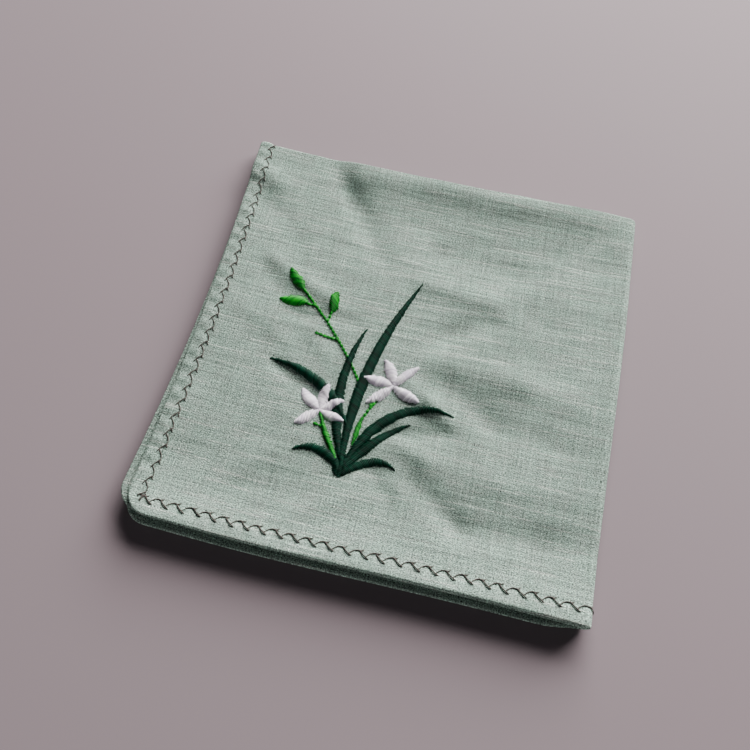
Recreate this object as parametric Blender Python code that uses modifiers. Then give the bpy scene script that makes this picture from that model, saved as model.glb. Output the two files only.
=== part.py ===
"""A linen handkerchief, folded twice into a quarter square and lying flat.

Units are metres, +Z is up. X runs along the hemmed front edge, from the open left edge to the
fold on the right. Y runs from the hemmed front edge to the fold at the back. The origin is at
the centre of the underside.

The cloth is worked out flat first: U and V are a point's distances from the middle of the
square. The back half is folded under the front half, and then the right half, already double,
is folded under the left half. That leaves four layers:

    layer   quarter of the cloth      joined to
    top     left front                second (back fold), bottom (right fold)
    second  left back                 top (back fold), third (right fold)
    third   right back                bottom (back fold), second (right fold)
    bottom  right front               third (back fold), top (right fold)
"""

import math

import bmesh
import bpy
import numpy as np

MM = 0.001

# Driving sizes
FOLDED_SIDE = 145.0 * MM  # side of the folded square
THICKNESS = 1.0 * MM  # cloth, with the air in its weave and its turned hem
CORNER_RADIUS = 8.0 * MM  # rounded corners of the cloth
BACK_FOLD_RADIUS = 0.75 * MM  # middle of the cloth, where two layers turn over each other
RIGHT_FOLD_RADIUS = 1.55 * MM  # middle of the pair of layers, where four layers turn

# Grid lines across one half of the cloth, counted from the hem
HEM_LINES = (0.0, 0.6 * MM, 2.0 * MM, 4.5 * MM, 8.0 * MM)
FIELD_LINES = 15  # evenly spaced, from the hem lines to the fold
FOLD_LINES = 6  # evenly spaced, round half of the fold

# How far each layer's free edges lie outside the top layer's. The left edge slides out towards
# the front. The front edge slides out evenly from its right end to its left, and draws in to
# nothing over the last stretch before the right fold.
#   layer     left, at the front   front, at the left   front, at the right
EDGES = {
    "top": (0.0 * MM, 0.0 * MM, 0.0 * MM),
    "second": (3.4 * MM, -1.0 * MM, 0.4 * MM),
    "third": (0.6 * MM, 1.0 * MM, 1.0 * MM),
    "bottom": (1.0 * MM, 2.0 * MM, 1.8 * MM),
}
LEFT_SLIDE_POWER = 1.5  # how late the left edges slide out
DRAW_IN = 14.0 * MM

# How far each side of the folded square is drawn in from a straight line between its corners:
# one rounded bow over the side's length, a second, S-shaped one, and a slant from the side's
# front or left end.
#   side      bow       S-bow      slant
SIDES = {
    "left": (2.2 * MM, 0.0 * MM, 0.8 * MM),
    "right": (0.5 * MM, 0.4 * MM, 0.0 * MM),
    "front": (-0.5 * MM, -0.4 * MM, 0.0 * MM),
    "back": (2.2 * MM, 0.0 * MM, 0.0 * MM),
}

# How much of the top layer's rise and fall each layer below it follows. The bottom one is flat.
FOLLOWS = {"top": 1.0, "second": 0.7, "third": 0.35, "bottom": 0.0}

# Soft creases of the top layer: a ridge, or a trough where the height is negative, along a line
# between two points. All are millimetres, measured from the top layer's left front corner.
#   from x, from y, to x, to y, half width, height
CREASES = (
    (30, 128, 125, 126, 12, -0.45),
    (76, 98, 98, 98, 6, 0.50),
    (80, 70, 122, 68, 7, 0.45),
    (80, 57, 93, 52, 4, 0.30),
    (74, 38, 125, 34, 7, 0.40),
    (85, 28, 130, 20, 6, -0.30),
    (60, 9, 130, 9, 6, 0.30),
    (28, 20, 46, 29, 5, 0.30),
    (34, 8, 62, 21, 5, -0.30),
    (18, 97, 30, 91, 4, 0.35),
    (14, 76, 30, 72, 5, 0.35),
    (36, 87, 50, 86, 4, 0.35),
    (36, 71, 48, 69, 4, 0.30),
)
CREASE_END = 0.5  # how fast a crease fades past its ends, next to how fast it does sideways

COLLECTION = "linen_handkerchief"
LINEN = (0.47, 0.56, 0.46, 1.0)


def clear_scene():
    for obj in list(bpy.data.objects):
        bpy.data.objects.remove(obj, do_unlink=True)


def new_collection(name):
    collection = bpy.data.collections.new(name)
    bpy.context.scene.collection.children.link(collection)
    return collection


def cloth_material(name, colour, roughness):
    material = bpy.data.materials.new(name)
    material.use_nodes = True
    shader = material.node_tree.nodes["Principled BSDF"]
    shader.inputs["Base Color"].default_value = colour
    shader.inputs["Roughness"].default_value = roughness
    shader.inputs["Metallic"].default_value = 0.0
    return material


def grid_lines(fold_radius):
    """Positions of the grid's lines along U or V, from one hem over the fold to the other hem."""
    fold_start = math.pi / 2 * fold_radius
    field = np.linspace(HEM_LINES[-1], FOLDED_SIDE - fold_start, FIELD_LINES + 1)[1:]
    bend = np.linspace(FOLDED_SIDE - fold_start, FOLDED_SIDE, FOLD_LINES + 1)[1:]
    half = np.concatenate([HEM_LINES, field, bend]) - FOLDED_SIDE
    return np.concatenate([half, -half[-2::-1]])


def rounded(u, v):
    """Squeezes each row of the square to the width that the rounded corners leave it."""
    to_hem = FOLDED_SIDE - np.abs(v)
    short = np.clip(CORNER_RADIUS - to_hem, 0.0, CORNER_RADIUS)
    inset = CORNER_RADIUS - np.sqrt(CORNER_RADIUS**2 - short**2)
    return u * (1.0 - inset / FOLDED_SIDE)


def layer_values(u, v, table):
    """The table's value for the layer that each point is part of."""
    left = np.where(v < 0.0, table["top"], table["second"])
    right = np.where(v < 0.0, table["bottom"], table["third"])
    return np.where(u < 0.0, left, right)


def smooth(t):
    """0 below 0 and 1 above 1, with an even turn at both."""
    t = np.clip(t, 0.0, 1.0)
    return t * t * (3.0 - 2.0 * t)


def slid_edges(u, v):
    """Slides the free edges of each layer, and its cloth evenly between edge and fold."""
    columns = zip(*EDGES.values())
    left, front_left, front_right = (dict(zip(EDGES, column)) for column in columns)
    to_left = np.abs(u) / FOLDED_SIDE
    to_front = np.abs(v) / FOLDED_SIDE
    slide_u = layer_values(u, v, left) * to_left * to_front**LEFT_SLIDE_POWER
    front = layer_values(u, v, front_left) * to_left
    front = front + layer_values(u, v, front_right) * (1.0 - to_left)
    slide_v = front * to_front * smooth(np.abs(u) / DRAW_IN)
    return u + np.sign(u) * slide_u, v + np.sign(v) * slide_v


def crease(x, y, row):
    """A rounded ridge: 1 on the line, falling as a bell to both sides and past both ends."""
    x0, y0, x1, y1, half_width, height = (number * MM for number in row)
    length = math.hypot(x1 - x0, y1 - y0)
    along_x = (x1 - x0) / length
    along_y = (y1 - y0) / length
    run = (x - x0) * along_x + (y - y0) * along_y
    off = (y - y0) * along_x - (x - x0) * along_y
    past = np.maximum(np.maximum(-run, run - length), 0.0) * CREASE_END
    return height * np.exp(-2.0 * (off**2 + past**2) / half_width**2)


def unevenness(u, v):
    """The creases of the top layer, read above each point and fading out at the two folds."""
    x = FOLDED_SIDE - np.abs(u)
    y = FOLDED_SIDE - np.abs(v)
    height = sum(crease(x, y, row) for row in CREASES)
    fade = smooth(np.abs(u) / DRAW_IN) * smooth(np.abs(v) / DRAW_IN)
    return height * fade * layer_values(u, v, FOLLOWS)


def fold(s, height, radius):
    """Carries a sheet over a half circle. s is the distance past the fold's crown along the
    sheet, and height is the distance outside the surface that turns at the radius. Returns the
    distance from the half circle's axis, towards the crown, and the height above the axis."""
    start = math.pi / 2 * radius
    turn = np.clip((s + start) / radius, 0.0, math.pi)
    outside = radius + height
    straight = np.maximum(np.abs(s) - start, 0.0)
    return outside * np.sin(turn) - straight, outside * np.cos(turn)


def drawn_in(along, side):
    """How far one side of the folded square is drawn in, for points at a fraction along it."""
    bow, s_bow, slant = SIDES[side]
    half_turn = math.pi * along
    return bow * np.sin(half_turn) + s_bow * np.sin(2.0 * half_turn) + slant * (1.0 - along)


def uneven_sides(x, y):
    """Draws in the sides of the folded square, and the cloth evenly between opposite sides.
    X and Y are negative distances from the two folds, so the free edges are at minus one side."""
    right = np.clip(1.0 + x / FOLDED_SIDE, 0.0, 1.0)
    back = np.clip(1.0 + y / FOLDED_SIDE, 0.0, 1.0)
    new_x = x + drawn_in(back, "left") * (1.0 - right) - drawn_in(back, "right") * right
    new_y = y + drawn_in(right, "front") * (1.0 - back) - drawn_in(right, "back") * back
    return new_x, new_y


def folded(u, v):
    """The place of each point of the cloth once both folds are made."""
    lift = unevenness(u, v)
    # Past the back fold the cloth is upside down, so there a rise is a step inwards.
    lift = np.where(v < 0.0, lift, -lift)
    # Past the right fold the pair of layers is upside down too.
    lift = np.where(u < 0.0, lift, -lift)
    u, v = slid_edges(u, v)
    y, height = fold(v, lift, BACK_FOLD_RADIUS)
    x, z = fold(u, height, RIGHT_FOLD_RADIUS)
    x, y = uneven_sides(x, y)
    return np.stack([x, y, z], axis=-1)


def stood_on_origin(points):
    """Moves the points so that the finished cloth is centred on the origin, its underside at 0."""
    low = points.min(axis=0)
    high = points.max(axis=0)
    middle = (low + high) / 2.0
    return points - np.array([middle[0], middle[1], low[2] - THICKNESS / 2.0])


def folded_cloth(collection, material):
    """The whole cloth: a flat grid, bent by the folds and then given its thickness."""
    u_lines = grid_lines(RIGHT_FOLD_RADIUS)
    v_lines = grid_lines(BACK_FOLD_RADIUS)
    bm = bmesh.new()
    bmesh.ops.create_grid(
        bm, x_segments=len(u_lines) - 1, y_segments=len(v_lines) - 1, size=1.0
    )
    mesh = bpy.data.meshes.new("folded_cloth")
    bm.to_mesh(mesh)
    bm.free()
    flat = np.empty(len(mesh.vertices) * 3)
    mesh.vertices.foreach_get("co", flat)
    flat = flat.reshape(-1, 3)
    u = np.interp(flat[:, 0], np.linspace(-1.0, 1.0, len(u_lines)), u_lines)
    v = np.interp(flat[:, 1], np.linspace(-1.0, 1.0, len(v_lines)), v_lines)
    points = stood_on_origin(folded(rounded(u, v), v))
    mesh.vertices.foreach_set("co", points.ravel())
    mesh.materials.append(material)
    mesh.shade_smooth()
    mesh.update()
    obj = bpy.data.objects.new("folded_cloth", mesh)
    collection.objects.link(obj)
    solidify = obj.modifiers.new("thickness", "SOLIDIFY")
    solidify.thickness = THICKNESS
    solidify.offset = 0.0
    solidify.use_even_offset = True
    return obj


clear_scene()
parts = new_collection(COLLECTION)
linen = cloth_material("sage_linen", LINEN, 0.9)
folded_cloth(parts, linen)
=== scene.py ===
# %% [markdown]
# # A folded linen handkerchief with an embroidered corner
# The real thing is one square of slub linen, about 290 mm each way. Its hem is turned and held by
# a line of dark feather stitch, and one quarter carries a spray of grass leaves, buds and two white
# flowers in satin stitch. It is folded twice into a quarter square and laid down, spray side up.
#
# This notebook starts from the frame, a plain solid that fixes the folds and sizes, and makes the
# cloth, its stitches and its embroidery on the same folds.

# %% The frame and the modules
import math

import bpy
import numpy as np
from mathutils import Matrix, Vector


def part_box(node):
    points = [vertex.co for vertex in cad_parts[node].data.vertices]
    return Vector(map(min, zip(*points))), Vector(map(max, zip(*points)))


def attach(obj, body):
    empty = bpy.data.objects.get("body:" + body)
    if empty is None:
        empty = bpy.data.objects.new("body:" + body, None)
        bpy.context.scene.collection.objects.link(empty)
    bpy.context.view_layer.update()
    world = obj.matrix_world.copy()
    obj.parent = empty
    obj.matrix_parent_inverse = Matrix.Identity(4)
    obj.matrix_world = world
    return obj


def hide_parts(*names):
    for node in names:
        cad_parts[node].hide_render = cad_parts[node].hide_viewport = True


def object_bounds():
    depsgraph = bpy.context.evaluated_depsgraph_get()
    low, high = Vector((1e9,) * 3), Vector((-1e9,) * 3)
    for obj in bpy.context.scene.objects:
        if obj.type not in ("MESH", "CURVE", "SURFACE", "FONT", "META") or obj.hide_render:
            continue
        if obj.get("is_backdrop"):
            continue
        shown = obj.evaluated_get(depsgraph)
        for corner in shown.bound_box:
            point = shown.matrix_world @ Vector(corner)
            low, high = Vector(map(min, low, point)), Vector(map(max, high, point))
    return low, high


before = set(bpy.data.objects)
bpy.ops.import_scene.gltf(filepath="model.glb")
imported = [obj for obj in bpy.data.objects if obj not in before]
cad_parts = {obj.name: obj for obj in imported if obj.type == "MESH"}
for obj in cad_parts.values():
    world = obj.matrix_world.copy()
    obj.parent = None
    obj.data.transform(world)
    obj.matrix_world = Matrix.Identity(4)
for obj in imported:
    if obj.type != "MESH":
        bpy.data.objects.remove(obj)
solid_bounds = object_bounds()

solid_low, solid_high = (np.array(corner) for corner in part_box("folded_cloth"))
print("folded solid, mm:", np.round((solid_high - solid_low) * 1000.0, 1))

# %% [markdown]
# ## The sizes of the folded square
# Every later step needs the same folds as the solid, so its sizes are repeated here; only a few
# edges and sides are a millimetre off, where real cloth has slipped. U and V are a point's distances
# from the middle of the flat cloth. The back half goes under the front half, and then the right half
# under the left one, which leaves four layers. The tables say how far the free edges of the layers
# lie apart and how far each side of the square is drawn in.

# %% Sizes
MM = 0.001

SIDE = 145.0 * MM  # half the flat cloth, and the side of the folded square
CORNER = 8.0 * MM  # rounded corners of the cloth
BACK_FOLD = 0.75 * MM  # radius of the first fold, at the back
RIGHT_FOLD = 1.55 * MM  # radius of the second fold, at the right
BOTTOM_MIDDLE = 0.5 * MM  # height of the middle of the lowest layer
TOP_MIDDLE = BOTTOM_MIDDLE + 2.0 * (RIGHT_FOLD + BACK_FOLD)
DRAW_IN = 14.0 * MM  # the front edges come together over this distance from the right fold

#   layer     left edge, at the front   front edge, at the left   front edge, at the right
EDGES = {
    "top": (0.0 * MM, 0.0 * MM, 0.0 * MM),
    "second": (3.4 * MM, -1.0 * MM, 0.4 * MM),
    "third": (0.6 * MM, -0.4 * MM, -0.2 * MM),
    "bottom": (1.0 * MM, 2.0 * MM, 1.8 * MM),
}
LEFT_SLIDE_POWER = 1.5

#   side      bow       S-bow      slant
SIDES = {
    "left": (2.2 * MM, 0.0 * MM, 0.8 * MM),
    "right": (-0.6 * MM, 0.3 * MM, 0.3 * MM),
    "front": (-0.5 * MM, -0.4 * MM, 0.0 * MM),
    "back": (1.8 * MM, 0.0 * MM, -1.3 * MM),
}
print("middle of the top layer, mm above the table:", round(TOP_MIDDLE / MM, 2))

# %% [markdown]
# ## From flat cloth to folded cloth
# A fold could be simulated, but four layers of a pressed handkerchief lie so close that a solver
# would spend its time pushing them apart. A formula is surer: a sheet turns over a half circle, and
# a point's height above the sheet becomes its distance outside that circle. Doing this once for the
# back fold and once more for the right fold places any point of the cloth, or just above it. So the
# same function later lays every stitch on the cloth.

# %% Small helpers
def smooth(t):
    """0 below 0 and 1 above 1, with an even turn at both: 3 t squared minus 2 t cubed."""
    t = np.clip(t, 0.0, 1.0)
    return t * t * (3.0 - 2.0 * t)


def layer_values(u, v, table, column):
    """The number in one column of a layer table, for the layer that each point is part of."""
    left = np.where(v < 0.0, table["top"][column], table["second"][column])
    right = np.where(v < 0.0, table["bottom"][column], table["third"][column])
    return np.where(u < 0.0, left, right)


def slid_edges(u, v):
    """Moves each layer's free edges out by its row of EDGES, and the cloth evenly towards the
    fold: the slide at the edge times the point's share of the way from the fold to the edge."""
    to_left = np.abs(u) / SIDE
    to_front = np.abs(v) / SIDE
    slide_u = layer_values(u, v, EDGES, 0) * to_left * to_front**LEFT_SLIDE_POWER
    front = layer_values(u, v, EDGES, 1) * to_left
    front = front + layer_values(u, v, EDGES, 2) * (1.0 - to_left)
    slide_v = front * to_front * smooth(np.abs(u) / DRAW_IN)
    return u + np.sign(u) * slide_u, v + np.sign(v) * slide_v


def fold(s, height, radius):
    """Carries a sheet over a half circle. s is the distance past the fold's crown along the sheet.
    On the circle a point is (radius + height) times the sine and cosine of its turn. Past the
    circle the sheet runs straight back."""
    start = math.pi / 2 * radius
    turn = np.clip((s + start) / radius, 0.0, math.pi)
    straight = np.maximum(np.abs(s) - start, 0.0)
    return (radius + height) * np.sin(turn) - straight, (radius + height) * np.cos(turn)


def drawn_in(along, side):
    """How far one side of the square is drawn in at a fraction along it: half a sine wave for the
    bow, a whole one for the S-bow, and a straight slant."""
    bow, s_bow, slant = SIDES[side]
    return (
        bow * np.sin(math.pi * along)
        + s_bow * np.sin(2.0 * math.pi * along)
        + slant * (1.0 - along)
    )


def uneven_sides(x, y):
    """Draws in the four sides, and the cloth between two opposite sides in even shares."""
    right = np.clip(1.0 + x / SIDE, 0.0, 1.0)
    back = np.clip(1.0 + y / SIDE, 0.0, 1.0)
    new_x = x + drawn_in(back, "left") * (1.0 - right) - drawn_in(back, "right") * right
    new_y = y + drawn_in(right, "front") * (1.0 - back) - drawn_in(right, "back") * back
    return new_x, new_y


# %% [markdown]
# ## Creases
# Pressed linen never lies dead flat. Soft ridges and troughs about a millimetre high run out from
# the dense embroidery to the right, short puckers lie to the left of it, and the back fold and the
# thick front hem stand a little proud. Sculpting would do, but a table is easier to read and to
# change: each row is a rounded ridge along a line, or a trough where the height is negative. The
# whole pile rises and falls together, so a layer at half the height follows by half.

# %% The table of creases, in millimetres from the front left corner of the top layer
#   from x, from y, to x, to y, half width, height
CREASES = (
    (50, 121, 136, 120, 11, -0.85),
    (80, 112, 104, 111, 9, -1.30),
    (76, 99, 98, 97, 5.5, 1.00),
    (80, 75, 88, 83, 5, -0.60),
    (88, 83, 99, 88, 6, -0.65),
    (86, 71, 112, 70, 8, 1.10),
    (112, 69, 130, 67, 6, 0.60),
    (91, 63, 106, 54, 6, -0.70),
    (106, 54, 128, 51, 8, -0.85),
    (76, 61, 86, 56, 4.5, 0.85),
    (86, 56, 93, 51, 4, 0.60),
    (74, 43, 92, 47, 4, -0.80),
    (78, 40, 88, 37, 3.5, 0.45),
    (88, 37, 112, 34, 7, 0.75),
    (112, 36, 138, 36, 7, 0.40),
    (70, 32, 79, 22, 4, -0.50),
    (87, 29, 102, 19, 5, -0.80),
    (102, 19, 126, 19, 7, -0.90),
    (126, 22, 140, 21, 7, -0.70),
    (10, -8, 140, -8, 22, 1.90),
    (10, 1, 138, 1, 6, 0.30),
)
SHORT_CREASES = (
    (74, 140, 98, 139, 8, 0.70),
    (106, 140, 122, 140, 7, 0.50),
    (48, 139, 62, 139, 7, 0.35),
    (40, 142, 130, 142, 11, 1.55),
    (3, 133, 12, 129, 6, 1.05),
    (32, 141, 41, 129, 6, -1.00),
    (41, 129, 57, 107, 7, -0.85),
    (4, 124, 12, 119, 7, -0.40),
    (12, 119, 27, 106, 7, -0.45),
    (124, 127, 134, 134, 6, -0.45),
    (76, 125, 98, 124, 2.5, 0.20),
    (104, 117, 124, 119, 3, 0.20),
    (58, 121, 70, 117, 4, 0.20),
    (112, 96, 124, 92, 5, -0.30),
    (36, 89, 43, 86, 4.5, 1.05),
    (20, 97, 27, 93, 4, 0.65),
    (20, 90, 26, 85, 4, -0.40),
    (35, 77, 38, 77, 3.5, -0.60),
    (49, 79, 53, 79, 3.5, -0.50),
    (15, 76, 27, 74, 6, 0.45),
    (28, 69, 34, 66, 3, 0.25),
    (41, 72, 48, 65, 4, 0.45),
    (34, 57, 47, 51, 3.5, -0.90),
    (22, 64, 27, 64, 4, -0.25),
    (38, 43, 46, 40, 3, 0.20),
    (80, 51, 88, 50, 2.5, -0.25),
    (28, 11, 50, 26, 5, -0.30),
    (33, 21, 46, 34, 5, 0.50),
    (44, 25, 51, 26, 2.5, 0.25),
    (52, 11, 66, 19, 5.5, 0.65),
    (58, 22, 66, 24, 2.5, 0.30),
    (6, 10, 12, 20, 8, -0.65),
)
CREASE_DEPTH = 1.05  # deepens or flattens all the creases together
CREASE_END = 0.7  # how fast a crease fades past its ends, next to how fast it does sideways


def crease(x, y, row):
    """A bell across the line: the height times e to the minus 2 (distance / half width) squared.
    Past an end the distance along the line counts too, at CREASE_END of its length."""
    x0, y0, x1, y1, half_width, height = (number * MM for number in row)
    length = math.hypot(x1 - x0, y1 - y0)
    along_x = (x1 - x0) / length
    along_y = (y1 - y0) / length
    run = (x - x0) * along_x + (y - y0) * along_y
    off = (y - y0) * along_x - (x - x0) * along_y
    past = np.maximum(np.maximum(-run, run - length), 0.0) * CREASE_END
    return height * np.exp(-2.0 * (off**2 + past**2) / half_width**2)


def rise(x, y):
    """How much the top of the pile stands above its mean height: the sum of all creases."""
    return CREASE_DEPTH * sum(crease(x, y, row) for row in CREASES + SHORT_CREASES)


def folded(u, v, height):
    """The place of a point at a height outside the cloth's right side: two folds, one after the
    other, then the uneven sides, and last its height above the table times 1 + rise / TOP_MIDDLE."""
    u, v = slid_edges(u, v)
    y, height = fold(v, height, BACK_FOLD)
    x, z = fold(u, height, RIGHT_FOLD)
    x, y = uneven_sides(x, y)
    z = z + RIGHT_FOLD + BACK_FOLD + BOTTOM_MIDDLE
    from_left = x + SIDE - math.pi / 2 * RIGHT_FOLD
    from_front = y + SIDE - math.pi / 2 * BACK_FOLD
    z = z * (1.0 + rise(from_left, from_front) / TOP_MIDDLE)
    return np.stack([x, y, z], axis=-1)


# %% [markdown]
# ## The grid of the cloth
# The cloth is a grid of lines over the flat square. The lines lie close where the shape is fine, at
# the hem and round the folds, about a millimetre apart on the layer that shows, and wider on the
# layers under it, so that the mesh spends its faces where they are seen.

# %% Grid lines and the rounded corners
HEM_LINES = (
    np.array([0.0, 0.06, 0.18, 0.36, 0.6, 0.95, 1.4, 2.0, 2.7, 3.4, 4.1, 4.7, 5.2, 5.7, 6.3, 7.2]) * MM
)
SHOWN_LINES = 132
HIDDEN_LINES = 40
FOLD_LINES = 8


def grid_lines(fold_radius):
    """Positions from one hem over the fold to the other: hem, field and half the fold, twice."""
    fold_start = math.pi / 2 * fold_radius
    halves = []
    for field_lines in (SHOWN_LINES, HIDDEN_LINES):
        field = np.linspace(HEM_LINES[-1], SIDE - fold_start, field_lines + 1)[1:]
        bend = np.linspace(SIDE - fold_start, SIDE, FOLD_LINES + 1)[1:]
        halves.append(np.concatenate([HEM_LINES, field, bend]) - SIDE)
    return np.concatenate([halves[0], -halves[1][-2::-1]])


def rounded(u, v):
    """Squeezes a row near the hem to the width that the rounded corners leave it."""
    short = np.clip(CORNER - (SIDE - np.abs(v)), 0.0, CORNER)
    inset = CORNER - np.sqrt(CORNER**2 - short**2)
    return u * (1.0 - inset / SIDE)


u_lines = grid_lines(RIGHT_FOLD)
v_lines = grid_lines(BACK_FOLD)
grid_u, grid_v = np.meshgrid(u_lines, v_lines, indexing="ij")
grid_u = rounded(grid_u, grid_v)
print("grid of the cloth:", grid_u.shape)

# %% [markdown]
# The folded cloth is centred on the frame's solid, and every stitch moves with it.

# %% From the flat cloth to its place in the frame
rough_places = folded(grid_u, grid_v, 0.0)
rough_low = rough_places.min(axis=(0, 1))
rough_high = rough_places.max(axis=(0, 1))
SHIFT = (solid_low + solid_high - rough_low - rough_high) / 2.0
SHIFT[2] = 0.0


def cloth_place(u, v, height):
    """The place in the frame of a point at a height above the right side of the cloth."""
    return folded(u, v, height) + SHIFT


print("shift onto the frame, mm:", np.round(SHIFT / MM, 2))

# %% [markdown]
# ## The hem
# The hem is the same linen, turned in twice, so the edge is a soft round roll about twice as thick
# as the field, and the extra thickness is on the wrong side. Where the feather stitch pulls the
# roll down, the linen puffs up between stitches, most along the left edge. All of this is a change
# of thickness, a function of the distance from the edge and the distance along it.

# %% Thickness of the cloth
RIGHT_FIELD = 0.24 * MM  # from the middle of the cloth to its right side
WRONG_FIELD = 0.20 * MM
RIGHT_HEM = 0.36 * MM
WRONG_HEM = 0.60 * MM
HEM_WIDTH = 5.6 * MM
HEM_STEP = 1.4 * MM  # the hem thins out to the field over this distance
EDGE_ROUND = 0.75 * MM
PUFF_WIDTH = 5.0 * MM
#   layer     puffs at the left, at the front
PUFFS = {
    "top": (0.60 * MM, 0.16 * MM),
    "second": (0.0, 0.0),
    "third": (0.0, 0.0),
    "bottom": (0.0, 0.0),
}

STITCH_CORNER = 6.0 * MM  # the line of stitches turns more sharply than the edge
OUTLINE_STRAIGHT = 2.0 * (SIDE - STITCH_CORNER)
OUTLINE_ARC = math.pi / 2 * STITCH_CORNER
OUTLINE_LENGTH = 4.0 * (OUTLINE_STRAIGHT + OUTLINE_ARC)
STITCH_COUNT = 218
STITCH_PITCH = OUTLINE_LENGTH / STITCH_COUNT


def from_edge(u, v):
    """Distance to the rounded outline: the radius minus the distance past the corner's centre."""
    past_u = np.abs(u) - (SIDE - CORNER)
    past_v = np.abs(v) - (SIDE - CORNER)
    outside = np.hypot(np.maximum(past_u, 0.0), np.maximum(past_v, 0.0))
    inside = np.minimum(np.maximum(past_u, past_v), 0.0)
    return np.maximum(CORNER - outside - inside, 0.0)


def puff(u, v, distance):
    """The linen between two stitches: half a sine wave across the hem, and along it the square of
    a sine that is zero at each stitch."""
    across = np.sin(math.pi * np.clip(distance / PUFF_WIDTH, 0.0, 1.0))
    on_left = np.abs(u) > np.abs(v)
    along = SIDE - STITCH_CORNER + np.where(on_left, -v, OUTLINE_STRAIGHT + OUTLINE_ARC + u)
    wave = np.sin(math.pi * (along / STITCH_PITCH + 0.1)) ** 2
    size = np.where(on_left, layer_values(u, v, PUFFS, 0), layer_values(u, v, PUFFS, 1))
    at_ends = smooth((SIDE - np.minimum(np.abs(u), np.abs(v)) - 6.0 * MM) / (12.0 * MM))
    return size * across * wave * at_ends


def face_heights(u, v):
    """Heights of the right and the wrong side. Both come together in a half circle at the edge."""
    distance = from_edge(u, v)
    in_hem = 1.0 - smooth((distance - HEM_WIDTH + HEM_STEP) / HEM_STEP)
    right = RIGHT_FIELD + (RIGHT_HEM - RIGHT_FIELD) * in_hem + puff(u, v, distance)
    wrong = -(WRONG_FIELD + (WRONG_HEM - WRONG_FIELD) * in_hem)
    middle = (right + wrong) / 2.0
    in_round = np.clip(1.0 - distance / EDGE_ROUND, 0.0, 1.0)
    half = (right - wrong) / 2.0 * np.sqrt(1.0 - in_round**2)
    return middle + half, middle - half


right_heights, wrong_heights = face_heights(grid_u, grid_v)
print("thickest place of the hem, mm:", round(float((right_heights - wrong_heights).max()) / MM, 2))

# %% [markdown]
# ## The cloth's mesh
# Both sides of the cloth are the same grid at two heights, and they share the points of the rim, so
# the shell is closed. A UV map keeps each point's place on the flat cloth: the weave will follow it
# round the folds.

# %% The cloth
def new_mesh(name, points, faces, uv_name, uv):
    """A mesh of the points and faces, shaded smooth, with one UV for each point."""
    mesh = bpy.data.meshes.new(name)
    mesh.from_pydata(points.reshape(-1, 3), [], faces)
    mesh.update()
    corners = np.empty(len(mesh.loops), dtype=np.int32)
    mesh.loops.foreach_get("vertex_index", corners)
    layer = mesh.uv_layers.new(name=uv_name)
    layer.data.foreach_set("uv", uv.reshape(-1, 2)[corners].ravel())
    mesh.shade_smooth()
    return mesh


def new_piece(name, mesh, material):
    """An object at the origin that rides on the cloth's body and has one finish."""
    piece = bpy.data.objects.new(name, mesh)
    bpy.context.scene.collection.objects.link(piece)
    mesh.materials.append(material)
    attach(piece, "root")
    triangles = sum(len(face.vertices) - 2 for face in mesh.polygons)
    print(f"{name}: {triangles} triangles")
    return piece


def quads_of(index):
    """The four corners of each cell of a grid of point numbers, in order round the cell."""
    corners = (index[:-1, :-1], index[1:, :-1], index[1:, 1:], index[:-1, 1:])
    return np.stack(corners, axis=-1).reshape(-1, 4)


def cloth_mesh():
    """Right side and wrong side of the cloth, sewn together along the shared rim."""
    rows, columns = grid_u.shape
    right_index = np.arange(rows * columns).reshape(rows, columns)
    wrong_index = right_index.copy()
    inner = (rows - 2) * (columns - 2)
    wrong_index[1:-1, 1:-1] = rows * columns + np.arange(inner).reshape(rows - 2, columns - 2)
    right_places = cloth_place(grid_u, grid_v, right_heights).reshape(-1, 3)
    wrong_places = cloth_place(grid_u, grid_v, wrong_heights)[1:-1, 1:-1].reshape(-1, 3)
    points = np.concatenate([right_places, wrong_places])
    faces = np.concatenate([quads_of(right_index), quads_of(wrong_index)[:, ::-1]])
    flat = np.stack([grid_u, grid_v], axis=-1)
    uv = np.concatenate([flat.reshape(-1, 2), flat[1:-1, 1:-1].reshape(-1, 2)])
    return new_mesh("linen_square", points, faces, "cloth", uv)


# %% [markdown]
# ## Materials are node graphs
# Weaves and threads are patterns of numbers, so a few helpers keep their graphs short: one makes a
# plain material, one joins a Math node, and one makes streaks that run along a thread.

# %% Helpers for node graphs
def new_material(name, roughness, sheen, specular):
    """A material and its shader. What is the same all over is set on the shader itself."""
    material = bpy.data.materials.new(name)
    material.use_nodes = True
    shader = material.node_tree.nodes["Principled BSDF"]
    shader.inputs["Roughness"].default_value = roughness
    shader.inputs["Sheen Weight"].default_value = sheen
    shader.inputs["Sheen Roughness"].default_value = 0.5
    shader.inputs["Specular IOR Level"].default_value = specular
    return material, material.node_tree, shader


def feed(tree, socket, source):
    """Joins a socket to a node's output, or sets it to a number or colour."""
    if isinstance(source, bpy.types.NodeSocket):
        tree.links.new(source, socket)
    else:
        socket.default_value = source


def maths(tree, operation, *sources):
    """The result of one Math node."""
    node = tree.nodes.new("ShaderNodeMath")
    node.operation = operation
    for socket, source in zip(node.inputs, sources):
        feed(tree, socket, source)
    return node.outputs[0]


def blended(tree, share, low, high):
    """low where the share is 0 and high where it is 1, for numbers."""
    node = tree.nodes.new("ShaderNodeMix")
    for socket, source in zip((node.inputs[0], node.inputs[2], node.inputs[3]), (share, low, high)):
        feed(tree, socket, source)
    return node.outputs[0]


def blended_colours(tree, share, low, high):
    """low where the share is 0 and high where it is 1, for colours."""
    node = tree.nodes.new("ShaderNodeMix")
    node.data_type = "RGBA"
    for socket, source in zip((node.inputs[0], node.inputs[6], node.inputs[7]), (share, low, high)):
        feed(tree, socket, source)
    return node.outputs[2]


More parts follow.
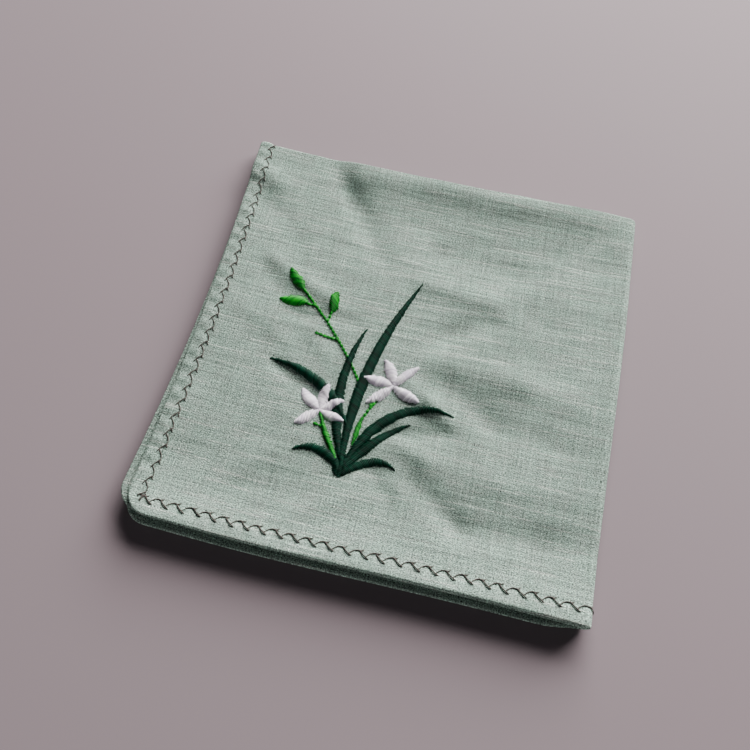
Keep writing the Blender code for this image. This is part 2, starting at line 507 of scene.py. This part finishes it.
def noise(tree, x, y, seed, detail=1.0):
    """Smooth noise between 0 and 1 at a place that is given by two numbers."""
    place = tree.nodes.new("ShaderNodeCombineXYZ")
    for socket, source in zip(place.inputs, (x, y, seed)):
        feed(tree, socket, source)
    node = tree.nodes.new("ShaderNodeTexNoise")
    node.inputs["Scale"].default_value = 1.0
    node.inputs["Detail"].default_value = detail
    tree.links.new(place.outputs[0], node.inputs["Vector"])
    return node.outputs["Fac"]


def stepped(tree, source, low, high):
    """0 below low and 1 above high, with an even turn between them. Where low is the larger of the
    two it is 0 above low and 1 below high."""
    node = tree.nodes.new("ShaderNodeMapRange")
    node.interpolation_type = "SMOOTHSTEP"
    feed(tree, node.inputs["Value"], source)
    feed(tree, node.inputs["From Min"], low)
    feed(tree, node.inputs["From Max"], high)
    return node.outputs["Result"]


# %% [markdown]
# ## Slub linen
# Plain weave: threads a third of a millimetre apart go over and under each other in turn. The yarn is
# uneven, so some threads are paler and thicker for a few centimetres, which shows as fine light
# lines, mostly from left to right. An image could hold this, but a graph on the flat cloth's own
# coordinates stays sharp at any size. Floor gives each thread a number, the number picks its own
# strip of noise, and the parity of both numbers says which thread is on top. The linen is a little
# paler towards the front hem.

# %% The linen's material
THREAD_PITCH = 0.36 * MM
SAGE = (0.255, 0.352, 0.293, 1.0)
PALE_SAGE = (0.47, 0.52, 0.46, 1.0)  # slubs
GREY_SAGE = (0.262, 0.334, 0.286, 1.0)
WEFT_SLUB = 0.55  # how pale the slubs are that run from left to right
WARP_SLUB = 0.22
PALER_FROM = 6.0 * MM  # paler up to here from the front hem, and as the rest from PALER_TO on
PALER_TO = 26.0 * MM


def yarn(tree, along, number, seed, slub_low, slub_high):
    """Two numbers for one set of threads: its slow unevenness, and how far it is in a slub."""
    strip = maths(tree, "MULTIPLY", number, 7.31)
    uneven = noise(tree, maths(tree, "MULTIPLY", along, 0.030), strip, seed)
    thick = noise(tree, maths(tree, "MULTIPLY", along, 0.011), strip, seed + 5.0)
    return uneven, stepped(tree, thick, slub_low, slub_high)


#   noise per thread across, noise per thread upward, seed, detail
LINEN_NOISES = (
    (0.012, 0.45, 3.0, 2.0),  # streaks along the weft
    (0.05, 0.07, 4.0, 3.0),  # cloudy mottling
    (0.7, 1.0, 8.0, 2.0),  # fine grain
)


def linen_material():
    """Plain weave with slubs, in the flat cloth's coordinates."""
    material, tree, shader = new_material("sage_linen", 0.9, 0.0, 0.1)
    cloth_map = tree.nodes.new("ShaderNodeUVMap")
    cloth_map.uv_map = "cloth"
    flat = tree.nodes.new("ShaderNodeSeparateXYZ")
    tree.links.new(cloth_map.outputs["UV"], flat.inputs[0])
    across = maths(tree, "MULTIPLY", flat.outputs[0], 1.0 / THREAD_PITCH)
    upward = maths(tree, "MULTIPLY", flat.outputs[1], 1.0 / THREAD_PITCH)
    column = maths(tree, "FLOOR", across)
    row = maths(tree, "FLOOR", upward)

    weft, weft_slub = yarn(tree, across, row, 1.0, 0.62, 0.66)
    warp, warp_slub = yarn(tree, upward, column, 2.0, 0.66, 0.70)
    warp_on_top = maths(tree, "PINGPONG", maths(tree, "ADD", column, row), 1.0)

    over_column, over_row = (
        maths(tree, "ABSOLUTE", maths(tree, "SINE", maths(tree, "MULTIPLY", place, math.pi)))
        for place in (across, upward)
    )
    height = blended(tree, warp_on_top, over_row, over_column)

    unevenness = blended(tree, warp_on_top, weft, warp)
    streaks, mottle, grain = (
        noise(
            tree,
            maths(tree, "MULTIPLY", across, per_column),
            maths(tree, "MULTIPLY", upward, per_row),
            seed,
            detail,
        )
        for per_column, per_row, seed, detail in LINEN_NOISES
    )
    # the linen is made a little paler towards the front hem
    paler_front = stepped(tree, flat.outputs[1], PALER_TO - SIDE, PALER_FROM - SIDE)

    # Each pattern, times a factor and plus an offset, darkens or lightens the linen in turn.
    tone = maths(tree, "MULTIPLY_ADD", unevenness, 1.90, 0.05)
    # The weave's height term is painted shade: the linen is darker where a thread dips under its
    # neighbour.
    patterns = ((paler_front, 0.30, 1.0), (streaks, 1.10, 0.45), (height, 0.34, 0.78), (grain, 4.30, -1.15))
    for pattern, factor, offset in patterns:
        tone = maths(tree, "MULTIPLY", tone, maths(tree, "MULTIPLY_ADD", pattern, factor, offset))

    weft_slub = maths(tree, "MULTIPLY", weft_slub, WEFT_SLUB)
    warp_slub = maths(tree, "MULTIPLY", warp_slub, WARP_SLUB)
    slub = maths(tree, "MAXIMUM", weft_slub, warp_slub)
    ground = blended_colours(tree, stepped(tree, mottle, 0.35, 0.7), SAGE, GREY_SAGE)
    colour = blended_colours(tree, slub, ground, PALE_SAGE)
    toned = tree.nodes.new("ShaderNodeVectorMath")
    toned.operation = "SCALE"
    tree.links.new(colour, toned.inputs[0])
    tree.links.new(tone, toned.inputs["Scale"])
    tree.links.new(toned.outputs[0], shader.inputs["Base Color"])

    bump = tree.nodes.new("ShaderNodeBump")
    bump.inputs["Strength"].default_value = 0.9
    bump.inputs["Distance"].default_value = 0.15 * MM
    rough = maths(tree, "MULTIPLY_ADD", grain, 2.0, maths(tree, "MULTIPLY_ADD", slub, 7.0, height))
    tree.links.new(rough, bump.inputs["Height"])
    tree.links.new(bump.outputs["Normal"], shader.inputs["Normal"])
    return material


linen = linen_material()
cloth = new_piece("linen_square", cloth_mesh(), linen)

# %% [markdown]
# ## Threads
# Every stitch is a length of thread that comes up through the cloth, lies over it and goes down
# again. A curve object for each would be slow to handle in such numbers. Instead one function
# sweeps a small ring along all strands at once: the points of each strand, the thread's radius and
# the direction that points away from the cloth are whole arrays.

# %% Sweeping many strands
def unit(vectors):
    """Vectors of length 1."""
    return vectors / np.linalg.norm(vectors, axis=-1, keepdims=True)


def swept(centres, outward, radius, sides):
    """Tubes along many strands. At each station the ring's axes are the strand's side, which is
    its direction crossed with outward, and its top, which is the side crossed with the direction.
    A point on the ring is the centre plus radius times (cosine side + sine top)."""
    strands, stations = centres.shape[:2]
    direction = unit(np.gradient(centres, axis=1))
    side = unit(np.cross(direction, outward))
    top = np.cross(side, direction)
    angle = np.linspace(0.0, 2.0 * math.pi, sides, endpoint=False)[:, None]
    ring = np.cos(angle) * side[:, :, None, :] + np.sin(angle) * top[:, :, None, :]
    rings = centres[:, :, None, :] + radius * ring

    index = np.arange(strands * stations * sides).reshape(strands, stations, sides)
    near, far = index[:, :-1], index[:, 1:]
    walls = np.stack([near, far, np.roll(far, -1, axis=2), np.roll(near, -1, axis=2)], axis=-1)
    first_pole = index.size + np.arange(strands)[:, None] + np.zeros((1, sides), dtype=int)
    last_pole = first_pole + strands
    start, end = index[:, 0], index[:, -1]
    start_caps = np.stack([first_pole, start, np.roll(start, -1, axis=1)], axis=-1)
    end_caps = np.stack([last_pole, np.roll(end, -1, axis=1), end], axis=-1)
    faces = walls.reshape(-1, 4).tolist()
    for caps in (start_caps, end_caps):
        faces += caps.reshape(-1, 3).tolist()
    points = np.concatenate([rings.reshape(-1, 3), centres[:, 0], centres[:, -1]])
    return points, faces


TABLE_GAP = 0.25 * MM  # stitches under the lowest layer are pressed up into it by the table


def thread_mesh(name, flat_strands, radius, sides, seed):
    """The mesh of strands that are given as U, V and height over the cloth's right side. Its UV map
    holds the distance along each strand, and a number that is the strand's own."""
    u, v, height = np.moveaxis(flat_strands, -1, 0)
    surface = face_heights(u, v)[0]
    centres = cloth_place(u, v, surface + height)
    outward = unit(cloth_place(u, v, surface + height + 0.2 * MM) - centres)
    centres[..., 2] = np.maximum(centres[..., 2], TABLE_GAP)
    points, faces = swept(centres, outward, radius, sides)

    strands, stations = u.shape
    steps = np.linalg.norm(np.diff(centres, axis=1), axis=-1)
    along = np.concatenate([np.zeros((strands, 1)), np.cumsum(steps, axis=1)], axis=1)
    own = np.random.default_rng(seed).random((strands, 1)) + np.zeros((1, stations))
    ring_uv = np.repeat(np.stack([along, own], axis=-1)[:, :, None, :], sides, axis=2)
    pole_uv = np.stack([np.stack([along[:, end], own[:, end]], axis=-1) for end in (0, -1)])
    uv = np.concatenate([ring_uv.reshape(-1, 2), pole_uv.reshape(-1, 2)])
    return new_mesh(name, points, faces, "thread", uv)


# %% [markdown]
# ## Thread finishes
# Embroidery thread is smooth and shiny, and sewing thread is duller. Both are plied, which shows as
# small waves along the strand; their crests are painted lighter and their grooves darker, as painted
# shade. Each stitch catching the light a little differently is painted too: every strand gets its own
# shade between a dark colour that stands for the thread in shade and a light one for the thread in
# light. So one function makes all four finishes from a dark and a light shade, a roughness and a sheen.

# %% Thread materials
PLY_LENGTH = 0.5 * MM


def thread_material(name, dark, light, roughness, sheen, specular):
    """A plied thread: each strand's own number picks its painted shade between dark and light."""
    material, tree, shader = new_material(name, roughness, sheen, specular)
    thread_map = tree.nodes.new("ShaderNodeUVMap")
    thread_map.uv_map = "thread"
    place = tree.nodes.new("ShaderNodeSeparateXYZ")
    tree.links.new(thread_map.outputs["UV"], place.inputs[0])
    along = maths(tree, "MULTIPLY", place.outputs[0], 2.0 * math.pi / PLY_LENGTH)
    ply = maths(tree, "MULTIPLY_ADD", maths(tree, "SINE", along), 0.5, 0.5)
    fine_along = maths(tree, "MULTIPLY", place.outputs[0], 900.0)
    fine_own = maths(tree, "MULTIPLY", place.outputs[1], 50.0)
    fibres = noise(tree, fine_along, fine_own, 6.0)
    # Painted light and shade: the strand's own number, the ply's crests and the fibres lighten the
    # colour.
    share = maths(tree, "MULTIPLY_ADD", ply, 0.1, maths(tree, "MULTIPLY", place.outputs[1], 0.8))
    share = maths(tree, "MULTIPLY_ADD", fibres, 0.2, share)
    tree.links.new(blended_colours(tree, share, dark, light), shader.inputs["Base Color"])
    bump = tree.nodes.new("ShaderNodeBump")
    bump.inputs["Strength"].default_value = 0.25
    bump.inputs["Distance"].default_value = 0.06 * MM
    tree.links.new(ply, bump.inputs["Height"])
    tree.links.new(bump.outputs["Normal"], shader.inputs["Normal"])
    return material


#     name, painted dark shade, painted light shade, roughness, sheen, specular
THREADS = (
    ("umber_sewing_thread", (0.040, 0.033, 0.028), (0.085, 0.072, 0.062), 0.7, 0.2, 0.2),
    ("bottle_green_rayon", (0.0, 0.004, 0.002), (0.0, 0.042, 0.022), 0.5, 0.0, 0.1),
    ("bright_green_rayon", (0.0, 0.045, 0.003), (0.003, 0.34, 0.015), 0.45, 0.0, 0.2),
    ("white_lilac_rayon", (0.58, 0.51, 0.62), (1.0, 0.96, 1.0), 0.5, 0.0, 0.2),
)
hem_thread, leaf_thread, stem_thread, petal_thread = (
    thread_material(name, (*dark, 1.0), (*light, 1.0), roughness, sheen, specular)
    for name, dark, light, roughness, sheen, specular in THREADS
)
finishes = (linen, hem_thread, leaf_thread, stem_thread, petal_thread)
print("materials:", [material.name for material in finishes])

# %% [markdown]
# ## Feather stitch round the hem
# A feather stitch is one thread that swings to and fro: a slanting stitch in towards the cloth, then
# one out towards the edge, each starting halfway along the one before. It runs round the whole
# square, 218 times the same pair of stitches. So the pair is written once, as a short table of
# places along and in from the edge, and carried round the outline by a formula.

# %% The outline as a path
def along_outline(distance, inset):
    """The point that lies inset from the rounded outline, at a distance along it. The path starts
    on the left side and goes to the front, right and back. Each quarter is a straight line and an
    arc, turned by 90 degrees from the quarter before."""
    quarter_length = OUTLINE_STRAIGHT + OUTLINE_ARC
    quarter = np.floor(distance / quarter_length)
    within = distance - quarter * quarter_length
    straight = np.minimum(within, OUTLINE_STRAIGHT)
    turn = np.maximum(within - OUTLINE_STRAIGHT, 0.0) / STITCH_CORNER
    reach = STITCH_CORNER - inset
    u = -(SIDE - STITCH_CORNER) - reach * np.cos(turn)
    v = (SIDE - STITCH_CORNER) - straight - reach * np.sin(turn)
    heading = quarter * math.pi / 2
    return u * np.cos(heading) - v * np.sin(heading), u * np.sin(heading) + v * np.cos(heading)


# %% The pair of stitches and its 218 copies
THREAD_RADII = (0.17 * MM, 0.20 * MM, 0.17 * MM)  # inward, outward and under the cloth
STRAND_STATIONS = 11
#   along, in from the edge, height: millimetres
INWARD_STITCH = (
    (-0.5, 4.15, -0.10),
    (0.0, 4.45, 0.05),
    (0.3, 4.80, 0.10),
    (0.8, 5.25, 0.16),
    (1.3, 5.60, 0.17),
    (2.0, 5.80, 0.17),
    (2.8, 5.75, 0.17),
    (3.4, 5.75, 0.18),
    (3.8, 6.00, 0.14),
    (4.1, 6.30, -0.15),
)
OUTWARD_STITCH = (
    (2.7, 5.85, -0.12),
    (2.9, 5.60, 0.24),
    (3.5, 5.05, 0.28),
    (4.1, 4.60, 0.28),
    (4.8, 4.15, 0.28),
    (5.4, 3.85, 0.22),
    (6.0, 3.55, -0.15),
)
UNDER_STITCH = ((0.3, 4.9, 0.15), (1.0, 4.9, -0.10), (2.2, 4.9, -0.10), (2.9, 4.9, 0.15))
WRONG_SIDE_DEPTH = RIGHT_HEM + WRONG_HEM
UNEVEN_START = 0.02  # of the pitch
UNEVEN_INSET = 0.10 * MM


def table_strand(table):
    """Even stations along a table's line, in metres, read between its rows."""
    rows = np.array(table) * MM
    steps = np.linalg.norm(np.diff(rows[:, :2], axis=0), axis=1)
    travelled = np.concatenate([[0.0], np.cumsum(steps)])
    stations = np.linspace(0.0, travelled[-1], STRAND_STATIONS)
    return np.stack([np.interp(stations, travelled, column) for column in rows.T], axis=-1)


def round_the_hem(table, depth, seed):
    """Copies of one stitch, a pitch apart round the outline, each a little uneven."""
    strand = table_strand(table)
    chance = np.random.default_rng(seed)
    starts = (np.arange(STITCH_COUNT) + chance.normal(0.0, UNEVEN_START, STITCH_COUNT)) * STITCH_PITCH
    insets = chance.normal(0.0, UNEVEN_INSET, STITCH_COUNT)
    distance = (starts[:, None] + strand[:, 0]) % OUTLINE_LENGTH
    u, v = along_outline(distance, strand[:, 1] + insets[:, None])
    return np.stack([u, v, strand[:, 2] - depth + np.zeros_like(u)], axis=-1)


feather_strands = np.concatenate(
    [
        round_the_hem(INWARD_STITCH, 0.0, 11),
        round_the_hem(OUTWARD_STITCH, 0.0, 12),
        round_the_hem(UNDER_STITCH, WRONG_SIDE_DEPTH, 13),
    ]
)
feather_radii = np.repeat(THREAD_RADII, STITCH_COUNT)[:, None, None, None]
feather_mesh = thread_mesh("feather_stitch", feather_strands, feather_radii, 6, 14)
new_piece("feather_stitch", feather_mesh, hem_thread)
print("stitches round the hem:", STITCH_COUNT, "pitch, mm:", round(STITCH_PITCH / MM, 2))

# %% [markdown]
# ## Drawing the spray
# Leaves, stems and petals are all one kind of line: it sets out in some direction and turns steadily
# as it goes. So each is drawn by where it starts, which way it heads, how long it is and how far it
# turns. Lengths are in millimetres and angles in degrees from the front edge, and everything is
# placed from the foot of the spray.

# %% Lines that turn
FOOT = np.array([-83.6, -117.4]) * MM  # the foot of the spray on the flat cloth
LINE_POINTS = 160


def drawn_line(start, heading, turn, length, late=1.0):
    """A line whose heading is the first one plus turn times (share of the way) to the power late.
    Its points are the running sum of the steps in those headings."""
    share = np.linspace(0.0, 1.0, LINE_POINTS)
    angle = np.radians(heading + turn * share**late)
    step = length * MM / (LINE_POINTS - 1)
    middle_angle = (angle[:-1] + angle[1:]) / 2.0
    x = np.concatenate([[0.0], np.cumsum(np.cos(middle_angle) * step)]) + start[0] * MM + FOOT[0]
    y = np.concatenate([[0.0], np.cumsum(np.sin(middle_angle) * step)]) + start[1] * MM + FOOT[1]
    return {"share": share, "x": x, "y": y, "angle": angle, "length": length * MM}


def on_line(line, share):
    """Place and heading at a share of the way along a drawn line."""
    return tuple(np.interp(share, line["share"], line[name]) for name in ("x", "y", "angle"))


# %% [markdown]
# ## What was sewn first lies under what comes after
# A petal that crosses a leaf rides up over it, because the leaf is already there. A small map of
# the heights sewn so far does this: a fine square grid over the spray's corner of the cloth. Every
# shape first reads the map under its threads, lies on top of it, and then adds its own height.

# %% The map of what is already sewn
MAP_CELL = 0.3 * MM
MAP_LOW = FOOT + np.array([-45.0, -10.0]) * MM
MAP_CELLS = (260, 300)
PADDING_SHARE = 0.8  # threads press into what they lie on
sewn_heights = np.zeros(MAP_CELLS)


def map_cells(u, v):
    """The map's cell under each point, as two whole numbers."""
    column = np.clip(np.rint((u - MAP_LOW[0]) / MAP_CELL).astype(int), 1, MAP_CELLS[0] - 2)
    row = np.clip(np.rint((v - MAP_LOW[1]) / MAP_CELL).astype(int), 1, MAP_CELLS[1] - 2)
    return column, row


def padding_under(u, v):
    """The height sewn so far, as the mean over the cell under each point and the eight round it."""
    column, row = map_cells(u, v)
    near = [sewn_heights[column + i, row + j] for i in (-1, 0, 1) for j in (-1, 0, 1)]
    return sum(near) / len(near)


def add_to_map(strands):
    """Raises the map to the strands, read at four times as many places along each."""
    stations = np.arange(strands.shape[1])
    finer = np.linspace(0.0, stations[-1], 4 * len(stations))
    weight = np.maximum(1.0 - np.abs(finer[:, None] - stations), 0.0)
    points = np.einsum("fs,nsc->nfc", weight, strands)
    column, row = map_cells(points[..., 0], points[..., 1])
    np.maximum.at(sewn_heights, (column, row), points[..., 2])
    np.maximum.at(sewn_heights, (column + 1, row), points[..., 2])
    np.maximum.at(sewn_heights, (column, row + 1), points[..., 2])


# %% [markdown]
# ## Satin stitch
# Satin stitch fills a shape with threads that lie side by side from edge to edge over padding, so
# the shape stands up in a soft dome with ridges as fine as the thread. A bumpy surface would look
# flat at its edges, where the real one is a row of needle holes. So each thread is its own strand:
# it starts in the cloth at one edge, arches over, and ends in the cloth at the other.

# %% Filling a shape with satin stitch
SATIN_PITCH = 0.50 * MM
SATIN_RADIUS = 0.26 * MM
SATIN_SIDES = 5
SATIN_UNEVEN = 0.13 * MM
NEEDLE_DEPTH = 0.15 * MM


def leaf_outline(share, foot=0.42):
    """Half width of a leaf, as a share of its widest: narrow foot, full middle, long fine tip."""
    share = np.clip(share, 0.0, 1.0)
    return (foot + (1.0 - foot) * smooth(share / 0.4)) * (1.0 - share**3.0) ** 0.9


def crossing_leaf_outline(share):
    """A leaf whose foot runs out to a point where it crosses the others."""
    return leaf_outline(share, 0.15)


def petal_outline(share):
    """Half width of a petal: narrow at the heart, widest past the middle, and a pointed tip."""
    share = np.clip(share, 0.0, 1.0)
    return 0.12 + 0.88 * np.sin(math.pi * share**1.1) ** 0.9 * (1.0 - 0.25 * share**4)


def bud_outline(share):
    """Half width of a bud: nearly an ellipse, fuller towards its foot."""
    return np.sin(math.pi * np.clip(share, 0.0, 1.0) ** 0.85) ** 0.85 * 0.9 + 0.10


def satin(line, width, outline, crown, slant, seed):
    """Strands over a line. The stitch at a share of the way spans minus to plus the half width.
    It is slanted by moving its ends along the line. Its height is the padding under it plus the
    dome 1 - |across| to the power 2.4 times the crown, which sinks with the shape's width."""
    count = int(round(line["length"] / SATIN_PITCH))
    share = (np.arange(count) + 0.5) / count
    uneven = np.random.default_rng(seed).normal(0.0, SATIN_UNEVEN, (count, 2))
    half = width * MM / 2.0 * outline(share)
    across = np.linspace(-1.0, 1.0, STRAND_STATIONS)
    ends = np.where(across < 0.0, uneven[:, :1], uneven[:, 1:])
    offset = (half[:, None] + ends) * across
    slid = share[:, None] + slant * half[:, None] * across / line["length"]
    x, y, angle = on_line(line, slid)
    u = x - np.sin(angle) * offset
    v = y + np.cos(angle) * offset
    full = crown * MM * (half / (width * MM / 2.0)) ** 0.6
    dome = 1.0 - np.abs(across) ** 2.4
    height = (full[:, None] + NEEDLE_DEPTH) * dome - NEEDLE_DEPTH + padding_under(u, v) * PADDING_SHARE
    return np.stack([u, v, height], axis=-1)


def satin_piece(name, shapes, material, seed):
    """A piece of satin stitch from the strands of its shapes, which then count as sewn."""
    strands = np.concatenate(shapes)
    add_to_map(strands)
    mesh = thread_mesh(name, strands, SATIN_RADIUS, SATIN_SIDES, seed)
    return new_piece(name, mesh, material)


# %% [markdown]
# ## Stems
# The stems are sewn first. They are a running stitch gone over three times, so each step is a small
# bead of three strands between two needle holes.

# %% Stems
BEAD_LENGTH = 1.55 * MM
BEAD_SPREAD = 0.33 * MM
BEAD_HEIGHT = 0.42 * MM
BEAD_MIDDLE = 0.14 * MM  # how much higher the middle strand rises
BEAD_RADIUS = 0.21 * MM


def beaded(line):
    """Three strands for each bead. They bow sideways by a half sine wave, to the left, not at all
    and to the right, and rise by another, the middle one most."""
    beads = max(int(round(line["length"] / BEAD_LENGTH)), 1)
    share = np.linspace(0.0, 1.0, STRAND_STATIONS)
    bow = np.sin(math.pi * share)
    starts = np.arange(beads)[:, None, None]
    x, y, angle = on_line(line, (starts + share + np.zeros((1, 3, 1))) / beads)
    sideways = np.array([-1.0, 0.0, 1.0])[:, None]
    offset = BEAD_SPREAD * sideways * bow
    u = x - np.sin(angle) * offset
    v = y + np.cos(angle) * offset
    height = (BEAD_HEIGHT + BEAD_MIDDLE * (1.0 - np.abs(sideways))) * bow - NEEDLE_DEPTH
    height = height + padding_under(u, v) * PADDING_SHARE
    return np.stack([u, v, height], axis=-1).reshape(-1, STRAND_STATIONS, 3)


#   name: start x, start y, heading, turn, length
STEMS = {
    "stem_main": (-1.6, 31.0, 126.0, 16.0, 40.0),
    "stem_left_bud": (-23.2, 54.6, 176.0, 6.0, 3.6),
    "stem_right_bud": (-17.9, 49.7, 80.0, 8.0, 4.6),
    "stem_twig": (-12.3, 44.0, 178.0, -6.0, 8.6),
    "stem_right_flower": (2.6, 18.0, 74.0, -24.0, 15.6),
    "stem_right_twig": (4.5, 23.2, 96.0, 4.0, 4.6),
    "stem_right_stub": (7.5, 28.6, 98.0, 0.0, 2.6),
    "stem_left_twig": (-8.6, 13.3, 176.0, -8.0, 3.8),
}
for seed, (name, row) in enumerate(STEMS.items(), start=40):
    x, y, heading, turn, length = row
    stem_strands = beaded(drawn_line((x, y), heading, turn, length))
    add_to_map(stem_strands)
    stem_mesh = thread_mesh(name, stem_strands, BEAD_RADIUS, SATIN_SIDES, seed)
    new_piece(name, stem_mesh, stem_thread)

# %% [markdown]
# ## Stalks and buds
# Two stalks under the flowers are thin satin, and the three buds are short fat satin in the same
# bright green.

# %% Stalks and buds
#   name: start x, start y, heading, turn, length, width, outline, crown
STALKS = {
    "stalk_left_flower": (-11.3, 18.2, -64.0, 16.0, 18.5, 1.7, petal_outline, 0.55),
    "stalk_right_flower": (1.9, 9.5, 86.0, -2.0, 10.0, 1.5, petal_outline, 0.50),
    "bud_top": (-29.6, 59.6, 134.0, -8.0, 9.2, 3.7, bud_outline, 0.85),
    "bud_left": (-26.6, 54.7, 178.0, 6.0, 10.0, 4.0, bud_outline, 0.85),
    "bud_right": (-17.5, 54.1, 90.0, -8.0, 7.6, 3.6, bud_outline, 0.80),
}
for seed, (name, row) in enumerate(STALKS.items(), start=50):
    x, y, heading, turn, length, width, outline, crown = row
    stalk_line = drawn_line((x, y), heading, turn, length)
    stalk = satin(stalk_line, width, outline, crown, 0.7, seed)
    satin_piece(name, [stalk], stem_thread, seed)

# %% [markdown]
# ## The leaves
# Seven blades of grass grow from one foot, in bottle green. They are sewn in the order of the
# table, so a blade lies over those above its row. Each is its own piece. The number called late says
# where a blade bends: above 1 towards its tip, and below 1 near its foot.

# %% The leaves
#   name: start x, start y, heading, turn, late, length, width, outline, crown, slant
LEAVES = {
    "leaf_middle": (0.6, 2.4, 120.0, -50.0, 1.00, 50.0, 3.6, leaf_outline, 0.70, 0.35),
    "leaf_tall": (0.4, 2.0, 101.0, -36.0, 0.80, 72.0, 4.0, leaf_outline, 0.75, 0.35),
    "leaf_left": (-1.2, 15.0, 122.0, 60.0, 1.00, 38.0, 3.7, crossing_leaf_outline, 0.75, -0.35),
    "leaf_arching": (0.9, 2.0, 74.0, -92.0, 1.50, 44.0, 3.6, leaf_outline, 0.75, -0.35),
    "leaf_short_right": (1.5, 1.4, 60.0, -34.0, 1.80, 26.0, 3.3, leaf_outline, 0.70, -0.35),
    "leaf_low_right": (1.3, -0.3, 44.0, -84.0, 2.00, 18.5, 2.9, leaf_outline, 0.70, -0.3),
    "leaf_low_left": (0.5, 0.4, 134.0, 88.0, 1.50, 19.0, 3.1, leaf_outline, 0.75, 0.3),
}
for seed, (name, row) in enumerate(LEAVES.items(), start=20):
    x, y, heading, turn, late, length, width, outline, crown, slant = row
    leaf_line = drawn_line((x, y), heading, turn, length, late)
    leaf = satin(leaf_line, width, outline, crown, slant, seed)
    satin_piece(name, [leaf], leaf_thread, seed)

# %% [markdown]
# The foot is a knot of short stitches where all the blades come together.

# %% The foot of the spray
FOOT_SHAPES = ((30, (-0.3, -1.0), 104.0), (31, (1.4, -0.9), 80.0), (32, (0.5, -1.5), 92.0))
foot = [
    satin(drawn_line(start, heading, 0.0, 5.5), 2.2, bud_outline, 0.5, 0.3, seed)
    for seed, start, heading in FOOT_SHAPES
]
satin_piece("leaf_foot", foot, leaf_thread, 33)

# %% [markdown]
# ## The flowers
# Each flower has five petals of white satin with a breath of lilac, sewn last, over the leaves. A
# petal is drawn like a leaf, from the flower's heart outwards, and each is a little different, as
# hand-guided stitching is. The petals of one flower make one piece.

# %% The flowers
#   heading, turn, length, width
RIGHT_PETALS = (
    (104, 30, 10.2, 3.8),
    (60, -18, 10.8, 3.1),
    (168, 14, 10.4, 3.6),
    (232, -16, 10.6, 3.4),
    (-30, 18, 10.2, 3.6),
)
LEFT_PETALS = (
    (96, -20, 9.4, 3.6),
    (40, -10, 8.4, 3.0),
    (154, -24, 10.0, 4.0),
    (-22, 20, 8.8, 3.2),
    (228, -14, 9.2, 3.4),
)
FLOWERS = {
    "flower_right": ((10.0, 32.0), RIGHT_PETALS),
    "flower_left": ((-11.5, 18.5), LEFT_PETALS),
}
PETAL_CROWN = 0.8
for seed, (name, (heart, petals)) in enumerate(FLOWERS.items(), start=60):
    shapes = []
    for number, (heading, turn, length, width) in enumerate(petals):
        petal_line = drawn_line(heart, heading, turn, length)
        shapes.append(satin(petal_line, width, petal_outline, PETAL_CROWN, 0.25, seed * 10 + number))
    satin_piece(name, shapes, petal_thread, seed)

# %% [markdown]
# ## Floor, light and camera
# The handkerchief lies on a plain pale floor. A wide, low window behind it gives the soft shadow in
# front and the shading of every crease. A weak card in front and a dim even sky fill the shadows,
# so the layer edges can be told apart. The camera looks down at the handkerchief from the front.

# %% The floor
def floor_material():
    """Plain painted board, pale and matt."""
    material, _, shader = new_material("pale_board", 0.75, 0.0, 0.3)
    shader.inputs["Base Color"].default_value = (0.238, 0.190, 0.206, 1.0)
    return material


bpy.ops.mesh.primitive_plane_add(size=6.0, location=(0.0, 0.0, 0.0))
floor = bpy.context.object
floor.name = "floor"
floor.data.materials.append(floor_material())
floor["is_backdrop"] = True

# %% The light
def window_light(name, place, width, height, power, colour):
    """A soft rectangular light that faces the handkerchief."""
    light = bpy.data.lights.new(name, "AREA")
    light.shape = "RECTANGLE"
    light.size = width
    light.size_y = height
    light.energy = power
    light.color = colour
    lamp = bpy.data.objects.new(name, light)
    bpy.context.scene.collection.objects.link(lamp)
    back = np.array(place) / np.linalg.norm(place)
    right = unit(np.cross((0.0, 0.0, 1.0), back))
    up = np.cross(back, right)
    matrix = np.eye(4)
    matrix[:3, :3] = np.stack([right, up, back], axis=-1)
    matrix[:3, 3] = place
    lamp.matrix_world = Matrix(matrix.tolist())
    return lamp


window_light("window", (0.42, 1.26, 0.61), 1.7, 0.8, 110.0, (1.0, 0.985, 0.97))
window_light("front_card", (-0.15, -1.20, 0.14), 1.2, 0.15, 3.5, (1.0, 1.0, 1.0))

world = bpy.data.worlds.new("soft_sky")
world.use_nodes = True
world.node_tree.nodes["Background"].inputs["Color"].default_value = (0.93, 0.90, 1.0, 1.0)
world.node_tree.nodes["Background"].inputs["Strength"].default_value = 0.05
bpy.context.scene.world = world

# %% The camera
TOP_FACE = TOP_MIDDLE + RIGHT_FIELD
half_turns = np.array([math.pi / 2 * RIGHT_FOLD, math.pi / 2 * BACK_FOLD, 0.0])
top_corner = SHIFT + half_turns - np.array([SIDE, SIDE, -TOP_FACE])  # the top layer's front left corner
camera_data = bpy.data.cameras.new("camera")
camera_data.sensor_width = 36.0
camera_data.lens = 36.9
camera_data.shift_y = -0.073
camera_data.clip_start = 0.01
camera = bpy.data.objects.new("camera", camera_data)
bpy.context.scene.collection.objects.link(camera)
camera.location = top_corner + np.array([0.6005, -0.2346, 1.6275]) * SIDE
camera.rotation_euler = (math.radians(26.58), math.radians(-0.51), math.radians(13.71))
bpy.context.scene.camera = camera
print("camera height, mm:", round(camera.location.z / MM))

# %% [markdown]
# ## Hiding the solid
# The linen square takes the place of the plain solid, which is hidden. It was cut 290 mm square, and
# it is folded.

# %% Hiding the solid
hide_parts("folded_cloth")

made_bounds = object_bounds()
print("size of the solid and of what was made, mm:")
for low, high in (solid_bounds, made_bounds):
    print(np.round((np.array(high) - np.array(low)) / MM, 1))
